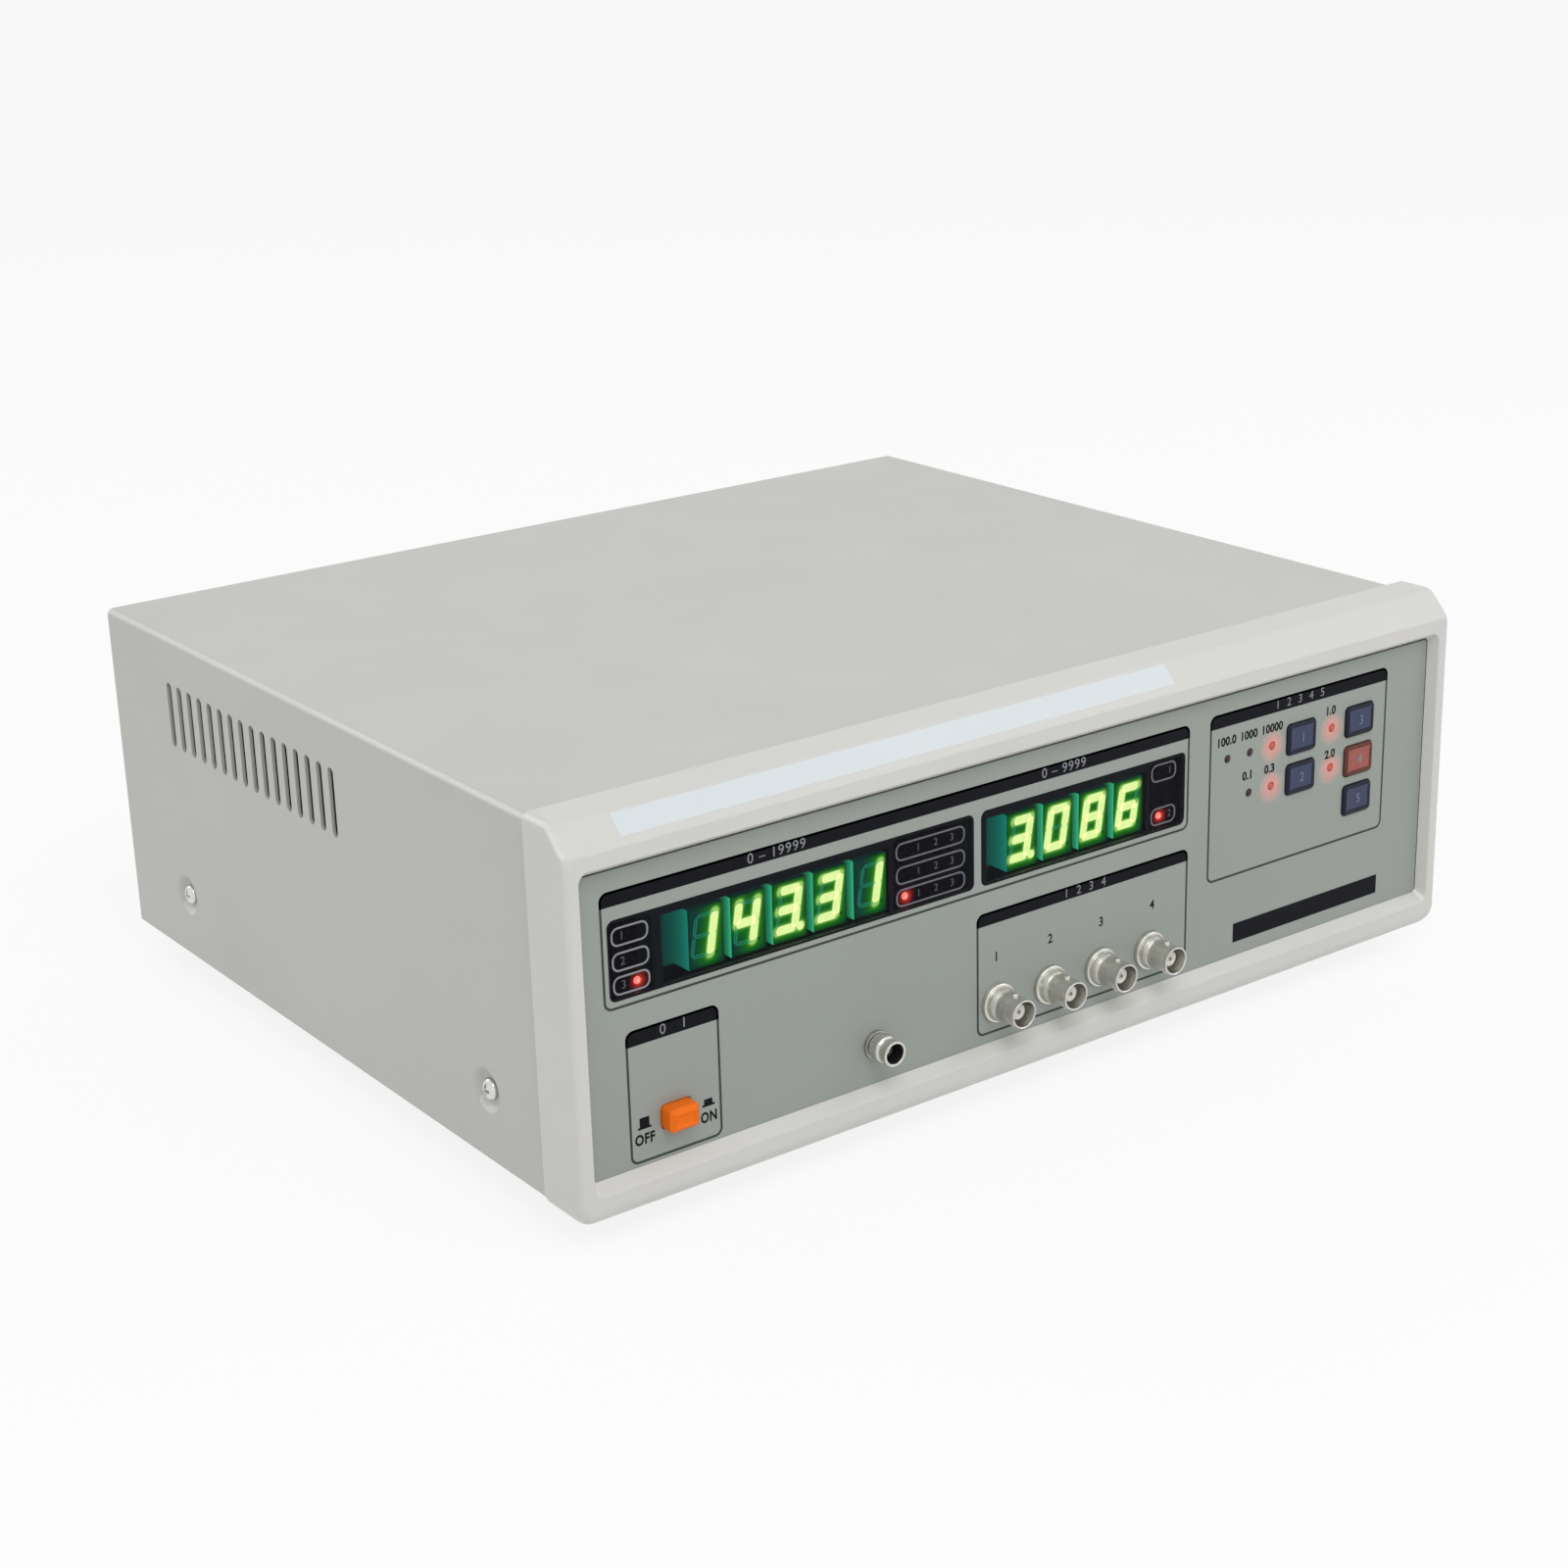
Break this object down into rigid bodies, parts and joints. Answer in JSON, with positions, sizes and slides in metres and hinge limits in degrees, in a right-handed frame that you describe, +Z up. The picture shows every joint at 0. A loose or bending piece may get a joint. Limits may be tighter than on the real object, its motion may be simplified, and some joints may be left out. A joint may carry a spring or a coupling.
{
  "type": "lcr meter",
  "caption": "Low rectangular bench meter with a framed front panel, lit digit displays, push keys, coaxial test terminals, a ground post and a latching power button.",
  "frame": {"origin": "middle of the bounding box at its base, on the surface the feet stand on", "axes": "+X to the right seen from the front, +Y to the back (the front panel faces -Y), +Z up"},
  "size_m": [0.365, 0.3166, 0.1338],
  "materials": {
    "frame_grey": "satin moulded plastic, warm light grey",
    "cover_grey": "fine-textured light grey paint",
    "panel_green": "satin grey-green paint",
    "zinc_steel": "bright zinc plate",
    "foot_rubber": "matt black rubber",
    "filter_acrylic": "dark tinted acrylic",
    "digit_body": "dark green moulded display body",
    "black_plastic": "black moulded plastic",
    "circuit_board": "green solder mask",
    "key_blue": "matt dark blue key plastic",
    "key_red": "matt dull red key plastic",
    "lamp_red": "clear red lamp epoxy",
    "nickel_brass": "nickel-plated brass",
    "white_plastic": "white insulating plastic",
    "button_orange": "orange moulded plastic",
    "fuse_glass": "glass tube with nickel end caps",
    "core_steel": "varnished steel laminations",
    "coil_wire": "yellow insulating tape over the winding",
    "sink_aluminium": "plain extruded aluminium"
  },
  "bodies": {
    "case": {"front_bezel": "frame_grey", "top_cover": "cover_grey", "rear_panel": "cover_grey", "front_panel": "panel_green", "bottom_tray": "zinc_steel", "foot_front_left": "foot_rubber", "foot_rear_left": "foot_rubber", "foot_front_right": "foot_rubber", "foot_rear_right": "foot_rubber", "cover_screw_front_left": "zinc_steel", "cover_screw_rear_left": "zinc_steel", "cover_screw_front_right": "zinc_steel", "cover_screw_rear_right": "zinc_steel", "window_a": "filter_acrylic", "window_b": "filter_acrylic", "digit_a1": "digit_body", "digit_a2": "digit_body", "digit_a3": "digit_body", "digit_a4": "digit_body", "digit_a5": "digit_body", "digit_b1": "digit_body", "digit_b2": "digit_body", "digit_b3": "digit_body", "digit_b4": "digit_body", "indicator_block_left": "black_plastic", "indicator_block_middle": "black_plastic", "indicator_block_right": "black_plastic", "display_board": "circuit_board", "main_board": "circuit_board", "panel_lamp_1": "lamp_red", "panel_lamp_2": "lamp_red", "panel_lamp_3": "lamp_red", "panel_lamp_4": "lamp_red", "panel_lamp_5": "lamp_red", "panel_lamp_6": "lamp_red", "panel_lamp_7": "lamp_red", "bnc_1": "nickel_brass", "bnc_2": "nickel_brass", "bnc_3": "nickel_brass", "bnc_4": "nickel_brass", "ground_post": "nickel_brass", "bnc_insulator_1": "white_plastic", "bnc_insulator_2": "white_plastic", "bnc_insulator_3": "white_plastic", "bnc_insulator_4": "white_plastic", "power_switch": "black_plastic", "mains_inlet": "black_plastic", "transformer_core": "core_steel", "transformer_coil": "coil_wire", "heat_sink": "sink_aluminium"},
    "power_button": {"power_button": "button_orange", "power_plunger": "white_plastic"},
    "key_1": {"key_1": "key_blue"},
    "key_2": {"key_2": "key_blue"},
    "key_3": {"key_3": "key_blue"},
    "key_4": {"key_4": "key_red"},
    "key_5": {"key_5": "key_blue"},
    "ground_nut": {"ground_nut": "nickel_brass"},
    "fuse_drawer": {"fuse_drawer": "black_plastic", "fuse": "fuse_glass"}
  },
  "joints": [
    {"name": "power_press", "type": "slide", "parent": "case", "child": "power_button", "axis": [0, -1, 0], "range_m": [-0.0008, 0.0035]},
    {"name": "key_1_press", "type": "slide", "parent": "case", "child": "key_1", "axis": [0, 1, 0], "range_m": [0, 0.0004], "stiffness_N_per_m": 3000},
    {"name": "key_2_press", "type": "slide", "parent": "case", "child": "key_2", "axis": [0, 1, 0], "range_m": [0, 0.0004], "stiffness_N_per_m": 3000},
    {"name": "key_3_press", "type": "slide", "parent": "case", "child": "key_3", "axis": [0, 1, 0], "range_m": [0, 0.0004], "stiffness_N_per_m": 3000},
    {"name": "key_4_press", "type": "slide", "parent": "case", "child": "key_4", "axis": [0, 1, 0], "range_m": [0, 0.0004], "stiffness_N_per_m": 3000},
    {"name": "key_5_press", "type": "slide", "parent": "case", "child": "key_5", "axis": [0, 1, 0], "range_m": [0, 0.0004], "stiffness_N_per_m": 3000},
    {"name": "ground_nut_turn", "type": "hinge", "parent": "case", "child": "ground_nut", "pos_m": [-0.07117, -0.1451, 0.0356], "axis": [0, -1, 0], "range_deg": [0, 1080]},
    {"name": "fuse_drawer_slide", "type": "slide", "parent": "case", "child": "fuse_drawer", "axis": [0, 1, 0], "range_m": [0, 0.016]}
  ]
}
